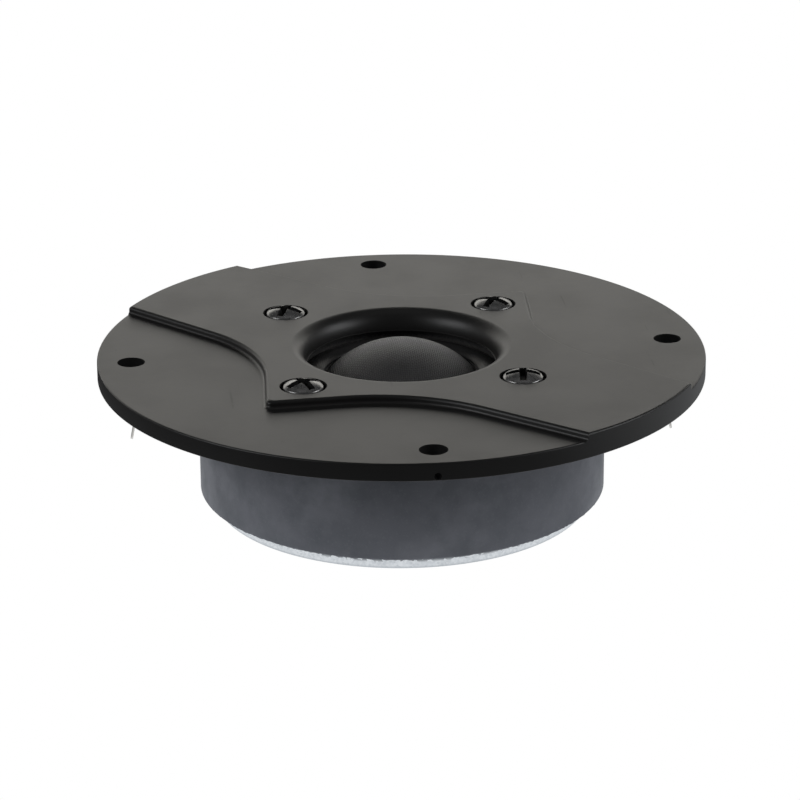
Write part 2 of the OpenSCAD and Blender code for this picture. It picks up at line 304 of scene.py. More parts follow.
def round_edges(piece, wanted, width, segments, sharper_than=25.0):
    """Bevels the edges that are sharper than an angle and whose middle, in millimetres, is wanted."""
    enter_edit(piece)
    bpy.ops.mesh.select_mode(type="EDGE")
    bpy.ops.mesh.select_all(action="DESELECT")
    mesh = bmesh.from_edit_mesh(piece.data)
    found = 0
    for edge in mesh.edges:
        if len(edge.link_faces) == 2 and edge.calc_face_angle(0) > math.radians(sharper_than):
            middle = (edge.verts[0].co + edge.verts[1].co) / (2 * MM)
            if wanted(middle):
                edge.select = True
                found += 1
    bmesh.update_edit_mesh(piece.data)
    if found:
        bpy.ops.mesh.bevel(offset=width * MM, segments=segments, affect="EDGES", clamp_overlap=False)
    leave_edit()


def smooth(piece, degrees=32.0, weighted=False):
    pick(piece)
    bpy.ops.object.shade_smooth_by_angle(angle=math.radians(degrees))
    if weighted:
        apply_modifier(piece, "WEIGHTED_NORMAL", keep_sharp=True, weight=100)


SCREW_PLACES = [polar(SCREW_PLACE_R, 45 + 90 * i) for i in range(4)]


# ---- Face plate ----

def low_field_outline(offset):
    """Outline of a low field, grown by an offset: straight, then curved, then straight to a corner."""
    radius = STEP_CURVE_R + offset
    centre = (-STEP_WAIST - STEP_CURVE_R, -STEP_WAIST_SHIFT)
    curve = arc(centre, radius, STEP_RIM_TURN, -STEP_CORNER_TURN, 40)
    out_x, out_y = polar(40, STEP_RIM_TURN + 90)
    down_x, down_y = polar(1, -STEP_CORNER_TURN - 90)
    end_x, end_y = curve[-1]
    # The straight run meets its mirror image on the diagonal, where x and y are equal.
    run = (end_y - end_x) / (down_x - down_y)
    corner = (end_x + run * down_x, end_y + run * down_y)
    tip = Vector(corner)
    back = STEP_CORNER_ROUND * Vector((down_x, down_y))
    bend = [tip - back * (1 - t) ** 2 - Vector((back.y, back.x)) * t ** 2 for t in (0, 0.25, 0.5)]
    edge = [(curve[0][0] + out_x, curve[0][1] + out_y)] + curve + [tuple(p) for p in bend]
    far = -1.4 * FLANGE_R
    mirrored = [(y, x) for x, y in reversed(edge[:-1])]
    return edge + mirrored + [(edge[0][1], far), (far, far), (far, edge[0][1])]


def low_field_cutter():
    """Both low fields, with a rounded toe at the foot of the step and a rounded crest at its top."""
    toe = arc((-STEP_TOE_R, FLANGE_T + STEP_TOE_R), STEP_TOE_R, -90, -6, 6)
    crest = arc((STEP_CREST_R, RAISED_Z - STEP_CREST_R), STEP_CREST_R, 174, 96, 6)
    levels = toe + crest + [(STEP_CREST_R, RAISED_Z + 1)]
    loops = [draw_line("level", [(x, y, z) for x, y in low_field_outline(d)]) for d, z in levels]
    leave_edit()
    one = joined("low_field", loops)
    enter_edit(one)
    heights = [z for d, z in levels]
    for low, high in zip(heights, heights[1:]):
        select_by(one, lambda p: low - 0.001 < p.z < high + 0.001)
        bpy.ops.mesh.bridge_edge_loops()
    for height in (heights[0], heights[-1]):
        select_by(one, lambda p: abs(p.z - height) < 0.001)
        bpy.ops.mesh.edge_face_add()
    bpy.ops.mesh.select_all(action="SELECT")
    bpy.ops.mesh.normals_make_consistent(inside=False)
    leave_edit()
    return joined("low_fields", [one, turned_copy(one, 180)])


def plate_outline():
    wide = FLARE_W - THROAT_LEDGE
    flare = [
        (THROAT_R + FLARE_W - wide * math.cos(a), THROAT_Z + FLARE_H * math.sin(a))
        for a in (math.radians(90 * i / 24) for i in range(25))
    ]
    lip = [(THROAT_R, LIP_Z), (THROAT_R, THROAT_Z - LIP_EDGE), (THROAT_R + LIP_EDGE, THROAT_Z)]
    inset_r = FLANGE_R - RIM_EDGE_R
    back_edge = arc((FLANGE_R - RIM_BACK_EDGE_R, RIM_BACK_EDGE_R), RIM_BACK_EDGE_R, -90, 0, 3)
    front_edge = arc((inset_r, RAISED_Z - RIM_EDGE_R), RIM_EDGE_R, 0, 90, 5)
    return [
        *back_edge, *front_edge, *reversed(flare), *reversed(lip),
        (CAVITY_R, LIP_Z), (CAVITY_R, BOSS_Z),
        (BOSS_R - BOSS_EDGE, BOSS_Z), (BOSS_R, BOSS_Z + BOSS_EDGE), (BOSS_R, 0),
    ]


def hole_cutters():
    """Drills for the mounting holes and plate screws, each breaking its top edge, and the gate mark."""
    edge = HOLE_EDGE
    through = [
        (0, -1), (MOUNT_HOLE_R, -1), (MOUNT_HOLE_R, FLANGE_T - edge), (MOUNT_HOLE_R + edge, FLANGE_T),
        (MOUNT_HOLE_R + edge, 5), (0, 5),
    ]
    drill = turned("drill", through, 72, closed=False)
    drill.data.transform(Matrix.Translation((MOUNT_R * MM, 0, 0)))
    stepped = [
        (0, -1), (SCREW_CLEARANCE_R, -1), (SCREW_CLEARANCE_R, COUNTERBORE_Z),
        (COUNTERBORE_R, COUNTERBORE_Z), (COUNTERBORE_R, RAISED_Z - edge), (COUNTERBORE_R + edge, RAISED_Z),
        (COUNTERBORE_R + edge, 6), (0, 6),
    ]
    bore = turned("counterbore", stepped, 96, closed=False)
    bore.data.transform(Matrix.Translation((*(Vector(SCREW_PLACES[0]) * MM), 0)))
    shapes = [turned_copy(one, 90 * i) for one in (drill, bore) for i in (1, 2, 3)]
    mark = turned("gate_mark", arc((0, 0), GATE_MARK_R, -90, 90, 10), 32, closed=False)
    mark.data.transform(Matrix.Translation(Vector((0, -FLANGE_R - 0.2, GATE_MARK_Z)) * MM))
    return joined("holes", [drill, bore, mark] + shapes)


def pocket_cutters():
    middle_r = (POCKET_INNER_R + POCKET_OUTER_R) / 2
    rib_turn = math.degrees(RIB_W / middle_r)
    pitch = 360 / POCKETS
    outline = [
        (POCKET_INNER_R, -1), (POCKET_OUTER_R, -1), (POCKET_OUTER_R, POCKET_DEPTH),
        (POCKET_INNER_R, POCKET_DEPTH),
    ]
    one = turned("pocket", outline, 20, angle=pitch - rib_turn, start=POCKET_TURN + rib_turn / 2)
    round_edges(one, lambda p: p.z > -0.9, POCKET_FLOOR_R, 3, 60)
    return joined("pockets", [one] + [turned_copy(one, pitch * i) for i in range(1, POCKETS)])


def build_face_plate():
    plate = turned("face_plate_moulding", plate_outline(), 288)
    holes = hole_cutters()
    # The bores, counterbores and gate mark take a near-black second finish: painted shade in these hollows.
    for material in (mix_plate_plastic(), mix_bore_shade()):
        plate.data.materials.append(material)
        holes.data.materials.append(material)
    for face in holes.data.polygons:
        face.material_index = 1
    cut_away(plate, low_field_cutter())
    cut_away(plate, holes)
    cut_away(plate, pocket_cutters())
    enter_edit(plate)
    bpy.ops.mesh.select_all(action="SELECT")
    bpy.ops.mesh.dissolve_limited(angle_limit=math.radians(0.3), use_dissolve_boundaries=False)
    leave_edit()

    def low_rim(place):
        return abs(place.z - FLANGE_T) < 0.02 and math.hypot(place.x, place.y) > FLANGE_R - 0.1

    round_edges(plate, low_rim, LOW_RIM_EDGE_R, 4, 60)
    smooth(plate, 38, weighted=True)
    return plate


# ---- Plate screws ----

def build_screw():
    """Pan-head machine screw, its head resting at z = 0, its cross recess along X and Y."""
    crown = HEAD_CROWN_H - HEAD_EDGE_H
    ball_r = (HEAD_R * HEAD_R + crown * crown) / (2 * crown)
    crown_turn = math.degrees(math.asin((HEAD_R - 0.4) / ball_r))
    dome_top = arc((0, HEAD_CROWN_H - ball_r), ball_r, 90, 90 - crown_turn, 16)
    shoulder = arc((HEAD_R - HEAD_SHOULDER_R, HEAD_EDGE_H - 0.32), HEAD_SHOULDER_R, 52, 0, 5)
    shoulder += [(HEAD_R, HEAD_FOOT_EDGE), (HEAD_R - HEAD_FOOT_EDGE, 0)]
    tip = -(COUNTERBORE_Z + SCREW_END)
    shank = [(THREAD_ROOT_R + 0.1, 0), (THREAD_ROOT_R, -0.1), (THREAD_ROOT_R, tip + 0.3)]
    end = [(THREAD_ROOT_R - 0.3, tip), (0, tip)]
    head = turned("screw_head", dome_top + shoulder + shank + end, 96, closed=False)
    arm, half = RECESS_L / 2, RECESS_W / 2
    cross = [
        (half, half), (half, arm), (-half, arm), (-half, half), (-arm, half), (-arm, -half),
        (-half, -half), (-half, -arm), (half, -arm), (half, -half), (arm, -half), (arm, half),
    ]
    recess = draw_line("recess", [(x, y, HEAD_CROWN_H + RECESS_OVER) for x, y in cross])
    bpy.ops.mesh.edge_face_add()
    deep = -(RECESS_DEPTH + RECESS_OVER) * MM
    bpy.ops.mesh.extrude_region_move(TRANSFORM_OT_translate={"value": (0, 0, deep)})
    bpy.ops.transform.resize(value=(RECESS_TAPER, RECESS_TAPER, 1), center_override=(0, 0, 0))
    bpy.ops.mesh.select_all(action="SELECT")
    bpy.ops.mesh.normals_make_consistent(inside=False)
    leave_edit()
    # The cross recess takes a near-black second finish: painted shade inside the recess.
    for material in (mix_black_nickel(), mix_recess_shade()):
        head.data.materials.append(material)
        recess.data.materials.append(material)
    for face in recess.data.polygons:
        face.material_index = 1
    cut_away(head, recess)
    round_edges(head, lambda p: p.z > HEAD_EDGE_H and p.length < 5, RECESS_EDGE_R, 3, 35)
    return joined("screw", [head, build_thread(tip + 0.5, -0.4)])


def build_thread(low, high):
    """A ridge wound round the screw's core, closed at both ends."""
    half = THREAD_PITCH * 0.42
    profile = [(THREAD_ROOT_R - 0.1, low - half), (THREAD_R, low), (THREAD_ROOT_R - 0.1, low + half)]
    thread = draw_line("thread", [(r, 0, z) for r, z in profile])
    leave_edit()
    rounds = int((high - low) / THREAD_PITCH)
    apply_modifier(
        thread, "SCREW", axis="Z", angle=math.tau, steps=36, render_steps=36, iterations=rounds,
        screw_offset=THREAD_PITCH * MM, use_merge_vertices=True, merge_threshold=0.001 * MM,
    )
    enter_edit(thread)
    bpy.ops.mesh.select_mode(type="EDGE")
    bpy.ops.mesh.select_all(action="DESELECT")
    bpy.ops.mesh.select_non_manifold()
    bpy.ops.mesh.fill_holes(sides=3)
    bpy.ops.mesh.select_all(action="SELECT")
    bpy.ops.mesh.normals_make_consistent(inside=False)
    leave_edit()
    return thread


def build_screws():
    screw = build_screw()
    smooth(screw, 30)
    made = []
    for place, turn, i in zip(SCREW_PLACES, SCREW_TURNS, range(4)):
        copy = turned_copy(screw, turn + 45 + 90 * i)
        copy.data.transform(Matrix.Translation(Vector((*place, COUNTERBORE_Z)) * MM))
        made.append(copy)
    bpy.data.objects.remove(screw)
    return joined("plate_screws_set", made)


# ---- Diaphragm ----

def build_dome():
    """Cap of one ball with a turned-down collar that grips the coil former."""
    edge_turn = math.degrees(math.asin(DOME_BASE_R / DOME_BALL_R))
    outer = arc((0, DOME_CENTRE_Z), DOME_BALL_R, 90, 90 - edge_turn, 48)
    inner_r = DOME_BALL_R - DOME_T
    inner_turn = math.degrees(math.asin((FORMER_OUT_R - 0.02) / inner_r))
    inner = arc((0, DOME_CENTRE_Z), inner_r, 90 - inner_turn, 90, 40)
    collar = [
        (SKIRT_R - COLLAR_EDGE, SKIRT_FRONT_Z), (SKIRT_R, SKIRT_FRONT_Z - COLLAR_EDGE),
        (SKIRT_R, SKIRT_BACK_Z + COLLAR_EDGE), (SKIRT_R - COLLAR_EDGE, SKIRT_BACK_Z),
        (FORMER_OUT_R, SKIRT_BACK_Z), (FORMER_OUT_R, LAND_Z),
    ]
    outer[-1] = (DOME_BASE_R + 0.02, SKIRT_FRONT_Z + 0.02)
    dome = turned("soft_dome", outer + collar + inner, 256, closed=False)
    dent = turned("dent", arc((0, 0), DENT_R, -90, 90, 12), 32, closed=False)
    out, up = polar(DOME_BALL_R + DENT_R - DENT_DEPTH, DENT_UP_ANGLE)
    spot = Vector((*polar(out, DENT_ANGLE), DOME_CENTRE_Z + up)) * MM
    dent.data.transform(Matrix.Translation(spot))
    cut_away(dome, dent)
    smooth(dome, 60)
    return dome


def dome_point(radius, above):
    """Point at a radius, a little above the dome's outer face."""
    ball_r = DOME_BALL_R + above
    return radius, DOME_CENTRE_Z + math.sqrt(ball_r * ball_r - radius * radius)


def build_surround():
    """Half roll of coated cloth with a flat rim, thinner towards the dome."""
    mid_r = (SKIRT_R + CARRIER_BORE_R) / 2
    half_w = (CARRIER_BORE_R - SKIRT_R) / 2
    over = [
        (mid_r + polar(half_w, a)[0], SKIRT_FRONT_Z + polar(ROLL_H - CLOTH_T, a)[1])
        for a in range(180, -1, -8)
    ]
    under = [
        (mid_r + polar(half_w - CLOTH_T, a)[0], LAND_Z + polar(ROLL_H - CLOTH_T, a)[1])
        for a in range(0, 181, 8)
    ]
    over[-1] = (CARRIER_BORE_R + 0.1, SKIRT_FRONT_Z)
    foot = [dome_point(r, SURROUND_LAP_GAP) for r in (13.0, 12.85, SURROUND_LAP_R)]
    lap = [dome_point(r, SURROUND_LAP_GAP + SURROUND_LAP_T) for r in (SURROUND_LAP_R, 12.8, 13.0)]
    rim_r = LAND_R - 0.1
    rim = [(rim_r - 0.05, SKIRT_FRONT_Z), (rim_r, SKIRT_FRONT_Z - 0.05), (rim_r, LAND_Z)]
    surround = turned("half_roll_surround", lap + over + rim + under + [(SKIRT_R, LAND_Z)] + foot, 256)
    smooth(surround, 50)
    follow_dome(surround)
    return surround


def follow_dome(piece):
    """Lets cloth or wire bend between the still chassis and the moving dome, by distance from the axis."""
    inner, outer = Vector((SKIRT_R, 0, 0)) * MM, Vector((CARRIER_BORE_R, 0, 0)) * MM
    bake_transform(piece, "diaphragm", "chassis", inner, outer)
    shares = piece.data.attributes["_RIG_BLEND"]
    for vertex, share in zip(piece.data.vertices, shares.data):
        radius = math.hypot(vertex.co.x, vertex.co.y) / MM
        out = min(1, max(0, (radius - SKIRT_R) / (CARRIER_BORE_R - SKIRT_R)))
        share.value = out * out * (3 - 2 * out)


def build_coil():
    """Voice coil wound in one layer, each turn of wire rounded."""
    pitch = COIL_H / COIL_WIRES
    inside = FORMER_OUT_R
    outline = [(inside, COIL_FRONT_Z), (inside, COIL_FRONT_Z - COIL_H)]
    for i in range(COIL_WIRES):
        middle = COIL_FRONT_Z - COIL_H + pitch * (i + 0.5)
        outline += arc((inside + pitch / 2, middle), pitch / 2, -70, 70, 6)
    coil = turned("wound_coil", outline, 160)
    smooth(coil, 40)
    return coil


# ---- Terminals and leads ----

def tab_profile():
    """Side outline of a tab: flat run, bend and leaning tail, as (distance from axis, height)."""
    fall = TAB_FRONT_Z + TAB_TIP_DROP
    bend = math.degrees(math.atan2(fall, TAB_TIP_R - TAB_BEND_R))
    back_off = BEND_R * math.tan(math.radians(bend / 2))
    centre = (TAB_BEND_R - back_off, TAB_FRONT_Z - BEND_R)
    down = Vector(polar(1, -bend))
    inward = Vector((down.y, -down.x))
    tip = Vector((TAB_BEND_R, TAB_FRONT_Z)) + down * fall / math.sin(math.radians(bend))
    back_z = TAB_FRONT_Z - TAB_T
    outer = arc(centre, BEND_R, 90, 90 - bend, 14)
    inner = arc(centre, BEND_R - TAB_T, 90 - bend, 90, 14)
    start = [(TAB_INNER_R, back_z), (TAB_INNER_R, TAB_FRONT_Z)]
    return start + outer + [tuple(tip), tuple(tip + inward * TAB_T)] + inner, tip, down, bend


def build_tab():
    outline, tip, down, bend = tab_profile()
    half = TAB_W / 2
    tab = draw_line("tab", [(r, -half, z) for r, z in outline])
    bpy.ops.mesh.edge_face_add()
    bpy.ops.mesh.extrude_region_move(TRANSFORM_OT_translate={"value": (0, TAB_W * MM, 0)})
    bpy.ops.mesh.select_all(action="SELECT")
    bpy.ops.mesh.normals_make_consistent(inside=False)
    leave_edit()
    drill = turned("tab_drill", [(0, -2), (TAB_HOLE_R, -2), (TAB_HOLE_R, 2), (0, 2)], 32, closed=False)
    lean = Matrix.Rotation(math.radians(bend), 4, "Y")
    hole = Vector((tip.x - TAB_HOLE_SET * down.x, 0, tip.y - TAB_HOLE_SET * down.y)) * MM
    drill.data.transform(Matrix.Translation(hole) @ lean)
    cut_away(tab, drill)

    def tip_corner(place):
        return place.z < tip.y + 0.4 and abs(abs(place.y) - half) < 0.02

    round_edges(tab, tip_corner, TAB_TIP_CORNER_R, 5, 60)
    round_edges(tab, lambda p: abs(abs(p.y) - half) < 0.01 or p.z < tip.y + 0.8, TAB_EDGE_R, 2, 50)
    smooth(tab, 35)
    return tab


def build_lead():
    """Three tinsel strands twisted together, from the dome's collar up onto the tab."""
    strands = []
    for k in range(LEAD_STRANDS):
        line = bpy.data.curves.new("strand", "CURVE")
        line.dimensions = "3D"
        line.bevel_depth = LEAD_STRAND_R * MM
        line.bevel_resolution = 2
        line.use_fill_caps = True
        spline = line.splines.new("POLY")
        spline.points.add(LEAD_STEPS)
        for i in range(LEAD_STEPS + 1):
            share = i / LEAD_STEPS
            radius, height = along_lead(share)
            side, rise = polar(LEAD_TWIST_R, 360 * k / LEAD_STRANDS + LEAD_TWIST * share)
            spline.points[i].co = (radius * MM, side * MM, (height + rise) * MM, 1)
        strand = bpy.data.objects.new("strand", line)
        bpy.context.collection.objects.link(strand)
        strands.append(strand)
    pick(*strands)
    bpy.ops.object.convert(target="MESH")
    lead = joined("lead", strands)
    smooth(lead, 60)
    return lead


def along_lead(share):
    """Place on the lead's route, as (distance from axis, height), at a share of its length."""
    spot = share * (len(LEAD_ROUTE) - 1)
    i = min(int(spot), len(LEAD_ROUTE) - 2)
    before, after = Vector(LEAD_ROUTE[i]), Vector(LEAD_ROUTE[i + 1])
    return before.lerp(after, spot - i)


# ---- Motor ----

def ring_outline(inner_r, outer_r, low, high, edge):
    """Cross-section of a flat ring with its four edges broken."""
    return [
        (inner_r, low + edge), (inner_r + edge, low), (outer_r - edge, low), (outer_r, low + edge),
        (outer_r, high - edge), (outer_r - edge, high), (inner_r + edge, high), (inner_r, high - edge),
    ]


def build_magnet():
    """Sintered ring with ground faces; its back outer edge is chipped."""
    low, high = MAGNET_BACK_Z, MAGNET_FRONT_Z
    outline = ring_outline(MAGNET_BORE_R, MAGNET_R, low, high, MAGNET_EDGE)
    magnet = turned("magnet_ferrite", outline, 480)
    enter_edit(magnet)
    select_by(magnet, lambda p: math.hypot(p.x, p.y) > MAGNET_R - 0.35 and p.z < low + 0.1)
    bpy.ops.transform.vertex_random(offset=MAGNET_CHIPS * MM, uniform=0.2, normal=0, seed=7)
    leave_edit()
    smooth(magnet, 25)
    return magnet


def build_back_plate():
    """Stamped steel disc: rounded at its back rim, its other edges broken."""
    low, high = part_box("back_plate")[0].z / MM, BACK_PLATE_Z
    r, bore, roll = BACK_PLATE_R, SPIGOT_BORE_R, BACK_PLATE_ROLL_R
    outline = [(bore, low + SPIGOT_EDGE), (bore + SPIGOT_EDGE, low)]
    outline += arc((r - roll, low + roll), roll, -90, 0, 6)
    outline += [(r, high - BACK_PLATE_EDGE), (r - BACK_PLATE_EDGE, high)]
    outline += [(bore + SPIGOT_EDGE, high), (bore, high - SPIGOT_EDGE)]
    disc = turned("back_disc", outline, 256)
    smooth(disc, 30)
    return disc


# ---- Finishes: shared effects ----

def add_node(tree, kind, inputs=None, **settings):
    """Adds a node. Each input is a constant, or an output of another node to link from."""
    made = tree.nodes.new(kind)
    for key, value in settings.items():
        setattr(made, key, value)
    for key, value in (inputs or {}).items():
        if isinstance(value, bpy.types.NodeSocket):
            tree.links.new(value, made.inputs[key])
        else:
            made.inputs[key].default_value = value
    return made


def maths(tree, operation, first, second=0.0):
    return add_node(tree, "ShaderNodeMath", {0: first, 1: second}, operation=operation).outputs[0]


def effect(name, numbers, outputs):
    """A shared effect that takes a place and named numbers, and gives masks or heights."""
    group = bpy.data.node_groups.new(name, "ShaderNodeTree")
    group.interface.new_socket("Place", in_out="INPUT", socket_type="NodeSocketVector")
    for label, value in numbers.items():
        socket = group.interface.new_socket(label, in_out="INPUT", socket_type="NodeSocketFloat")
        socket.default_value = value
    for label in outputs:
        group.interface.new_socket(label, in_out="OUTPUT", socket_type="NodeSocketFloat")
    taken = group.nodes.new("NodeGroupInput").outputs
    given = group.nodes.new("NodeGroupOutput").inputs
    return group, taken, given


def noise(tree, place, scale, detail=4.0, roughness=0.55):
    inputs = {"Vector": place, "Scale": scale, "Detail": detail, "Roughness": roughness}
    return add_node(tree, "ShaderNodeTexNoise", inputs).outputs["Fac"]


def spread(tree, value, low, high, to_low=0.0, to_high=1.0):
    """Stretches a value from one range to another, held at its ends."""
    inputs = {"Value": value, "From Min": low, "From Max": high, "To Min": to_low, "To Max": to_high}
    return add_node(tree, "ShaderNodeMapRange", inputs).outputs["Result"]


def make_grain():
    """Fine moulded or cast grain: two sizes of bumps."""
    group, taken, given = effect("Moulded grain", {"Scale": 3000.0}, ["Height"])
    fine = noise(group, taken["Place"], taken["Scale"], 3)
    coarse = noise(group, taken["Place"], maths(group, "MULTIPLY", taken["Scale"], 0.22), 2)
    both = add_node(group, "ShaderNodeMath", {0: fine, 1: 0.65, 2: coarse}, operation="MULTIPLY_ADD")
    group.links.new(both.outputs[0], given["Height"])
    return group


def make_smudges():
    """Soft cloudy patches, as handling and uneven polish leave."""
    group, taken, given = effect("Smudges", {"Scale": 60.0, "Low": 0.42, "High": 0.66}, ["Mask"])
    cloudy = noise(group, taken["Place"], taken["Scale"], 5, 0.6)
    mask = spread(group, cloudy, taken["Low"], taken["High"])
    group.links.new(mask, given["Mask"])
    return group


def make_speckle():
    """Small hard-edged flecks of uneven size."""
    group, taken, given = effect("Speckle", {"Scale": 1500.0, "Share": 0.3}, ["Mask", "Tone"])
    inputs = {"Vector": taken["Place"], "Scale": taken["Scale"]}
    cells = add_node(group, "ShaderNodeTexVoronoi", inputs)
    tone = add_node(group, "ShaderNodeSeparateColor", {"Color": cells.outputs["Color"]})
    mask = maths(group, "LESS_THAN", tone.outputs["Red"], taken["Share"])
    group.links.new(mask, given["Mask"])
    group.links.new(tone.outputs["Green"], given["Tone"])
    return group


def make_scratches():
    """Fine straight scuffs in two directions, broken up by a soft mask."""
    group, taken, given = effect("Scratches", {"Scale": 900.0, "Share": 0.5}, ["Mask"])
    found = []
    for turn in (25, -62):
        squeeze = add_node(
            group, "ShaderNodeMapping",
            {"Vector": taken["Place"], "Rotation": (0, 0, math.radians(turn)), "Scale": (1, 0.03, 1)},
        )
        line = noise(group, squeeze.outputs[0], taken["Scale"], 1)
        found.append(spread(group, line, 0.70, 0.76))
    both = maths(group, "MAXIMUM", *found)
    patches = noise(group, taken["Place"], 90.0, 2)
    kept = maths(group, "LESS_THAN", patches, taken["Share"])
    group.links.new(maths(group, "MULTIPLY", both, kept), given["Mask"])
    return group


def make_weave():
    """Plain square weave seen along the axis, with the height of the threads, and a mask of the gaps between
    them that is used to paint shade.
    """
    group, taken, given = effect("Cloth weave", {"Pitch": 0.00032}, ["Height", "Gap shade"])
    parts = add_node(group, "ShaderNodeSeparateXYZ", {0: taken["Place"]}).outputs
    wave = []
    for axis in ("X", "Y"):
        along = maths(group, "DIVIDE", parts[axis], taken["Pitch"])
        wave.append(maths(group, "SINE", maths(group, "MULTIPLY", along, math.pi)))
    over = maths(group, "MULTIPLY", maths(group, "MULTIPLY", *wave), 0.45)
    warp = maths(group, "MULTIPLY", maths(group, "ABSOLUTE", wave[0]), maths(group, "ADD", over, 0.75))
    dip = maths(group, "SUBTRACT", 0.40, over)
    weft = maths(group, "MULTIPLY", maths(group, "ABSOLUTE", wave[1]), dip)
    height = maths(group, "MAXIMUM", warp, weft)
    group.links.new(height, given["Height"])
    group.links.new(spread(group, height, 0.5, 0.1), given["Gap shade"])
    return group


def make_turning():
    """Rings round the axis, as a lathe tool or a winding leaves."""
    group, taken, given = effect("Turning marks", {"Pitch": 0.00025, "Upright": 0.0}, ["Height"])
    parts = add_node(group, "ShaderNodeSeparateXYZ", {0: taken["Place"]}).outputs
    squares = maths(group, "ADD", *(maths(group, "MULTIPLY", parts[a], parts[a]) for a in ("X", "Y")))
    radius = maths(group, "SQRT", squares)
    height = maths(group, "MULTIPLY", parts["Z"], taken["Upright"])
    where = maths(group, "DIVIDE", maths(group, "ADD", radius, height), taken["Pitch"])
    wander = noise(group, taken["Place"], 500.0, 2)
    rings = maths(group, "SINE", maths(group, "ADD", maths(group, "MULTIPLY", where, math.tau), wander))
    group.links.new(spread(group, rings, -1.0, 1.0), given["Height"])
    return group


GRAIN = make_grain()
SMUDGES = make_smudges()
SPECKLE = make_speckle()
SCRATCHES = make_scratches()
WEAVE = make_weave()
TURNING = make_turning()


# ---- Finishes: materials ----

class Finish:
    """One material being mixed: a shader, the place on the piece, and the effects laid over it."""

    def __init__(self, name, colour, roughness, metallic=0.0, **sockets):
        self.material = bpy.data.materials.new(name)
        self.material.use_nodes = True
        self.tree = self.material.node_tree
        self.shader = self.tree.nodes["Principled BSDF"]
        self.colour, self.roughness = (*colour, 1), roughness
        self.shader.inputs["Base Color"].default_value = self.colour
        self.shader.inputs["Roughness"].default_value = roughness
        self.shader.inputs["Metallic"].default_value = metallic
        for label, value in sockets.items():
            self.shader.inputs[label.replace("_", " ")].default_value = value
        self.place = add_node(self.tree, "ShaderNodeTexCoord").outputs["Object"]
        self.normal = None

    def use(self, group, output, **numbers):
        """Places a shared effect with its own numbers, and gives one of its outputs."""
        inputs = {"Place": self.place, **{k.replace("_", " "): v for k, v in numbers.items()}}
        return add_node(self.tree, "ShaderNodeGroup", inputs, node_tree=group).outputs[output]

    def tint(self, mask, colour, share=1.0):
        """Lays another colour over the base where the mask is."""
        fac = maths(self.tree, "MULTIPLY", mask, share)
        inputs = {0: fac, 6: self.colour, 7: (*colour, 1)}
        self.colour = add_node(self.tree, "ShaderNodeMix", inputs, data_type="RGBA").outputs[2]
        self.tree.links.new(self.colour, self.shader.inputs["Base Color"])

    def roughen(self, mask, change):
        """Adds to the roughness where the mask is."""
        extra = maths(self.tree, "MULTIPLY", mask, change)
        self.roughness = maths(self.tree, "ADD", self.roughness, extra)
        self.tree.links.new(self.roughness, self.shader.inputs["Roughness"])

    def bump(self, height, depth, strength=1.0):
        """Raises the surface by the height times a depth in millimetres."""
        inputs = {"Height": height, "Distance": depth * MM, "Strength": strength}
        if self.normal:
            inputs["Normal"] = self.normal
        self.normal = add_node(self.tree, "ShaderNodeBump", inputs).outputs[0]
        self.tree.links.new(self.normal, self.shader.inputs["Normal"])


def mix_plate_plastic():
    finish = Finish("satin_black_moulding", (0.0135, 0.013, 0.0125), 0.39)
    finish.tint(finish.use(SMUDGES, "Mask", Scale=40.0), (0.017, 0.0165, 0.016), 0.7)
    finish.roughen(finish.use(SMUDGES, "Mask", Scale=70.0), 0.03)
    finish.roughen(finish.use(SCRATCHES, "Mask", Scale=1200.0, Share=0.4), 0.05)
    finish.bump(finish.use(GRAIN, "Height", Scale=4200.0), 0.006)
    return finish.material


def mix_bore_shade():
    # Near-black and duller than the plate's own plastic: painted shade on the walls and floors of the holes.
    finish = Finish("bore_painted_shade", (0.004, 0.004, 0.004), 0.7, Specular_IOR_Level=0.15)
    finish.tint(finish.use(SMUDGES, "Mask", Scale=300.0), (0.007, 0.007, 0.007), 0.7)
    finish.bump(finish.use(GRAIN, "Height", Scale=2500.0), 0.01)
    return finish.material


def mix_black_nickel():
    finish = Finish("black_nickel", (0.25, 0.247, 0.243), 0.20, 0.6)
    finish.tint(finish.use(SMUDGES, "Mask", Scale=500.0), (0.15, 0.15, 0.147), 0.8)
    finish.roughen(finish.use(SMUDGES, "Mask", Scale=900.0), 0.16)
    finish.roughen(finish.use(SCRATCHES, "Mask", Scale=4000.0, Share=0.6), 0.15)
    finish.bump(finish.use(GRAIN, "Height", Scale=1300.0), 0.035)
    return finish.material


def mix_recess_shade():
    # Near-black in the recess, unlike the head's black nickel: painted shade. The light flecks are random
    # tone.
    finish = Finish("recess_painted_shade", (0.004, 0.004, 0.004), 0.6, Specular_IOR_Level=0.1)
    finish.tint(finish.use(SPECKLE, "Mask", Scale=4000.0, Share=0.12), (0.03, 0.03, 0.03), 0.5)
    finish.bump(finish.use(GRAIN, "Height", Scale=3000.0), 0.01)
    return finish.material


def mix_dome_cloth():
    finish = Finish("doped_dome_cloth", (0.052, 0.051, 0.051), 0.50, Sheen_Weight=0.40, Sheen_Roughness=0.4)
    # Near-black in the gaps between threads: painted shade in the weave's hollows.
    finish.tint(finish.use(WEAVE, "Gap shade", Pitch=CLOTH_PITCH * MM), (0.010, 0.010, 0.010), 1.0)
    finish.tint(finish.use(SMUDGES, "Mask", Scale=220.0), (0.060, 0.059, 0.058), 0.5)
    finish.roughen(finish.use(SMUDGES, "Mask", Scale=160.0), 0.08)
    finish.bump(finish.use(WEAVE, "Height", Pitch=CLOTH_PITCH * MM), 0.08)
    return finish.material


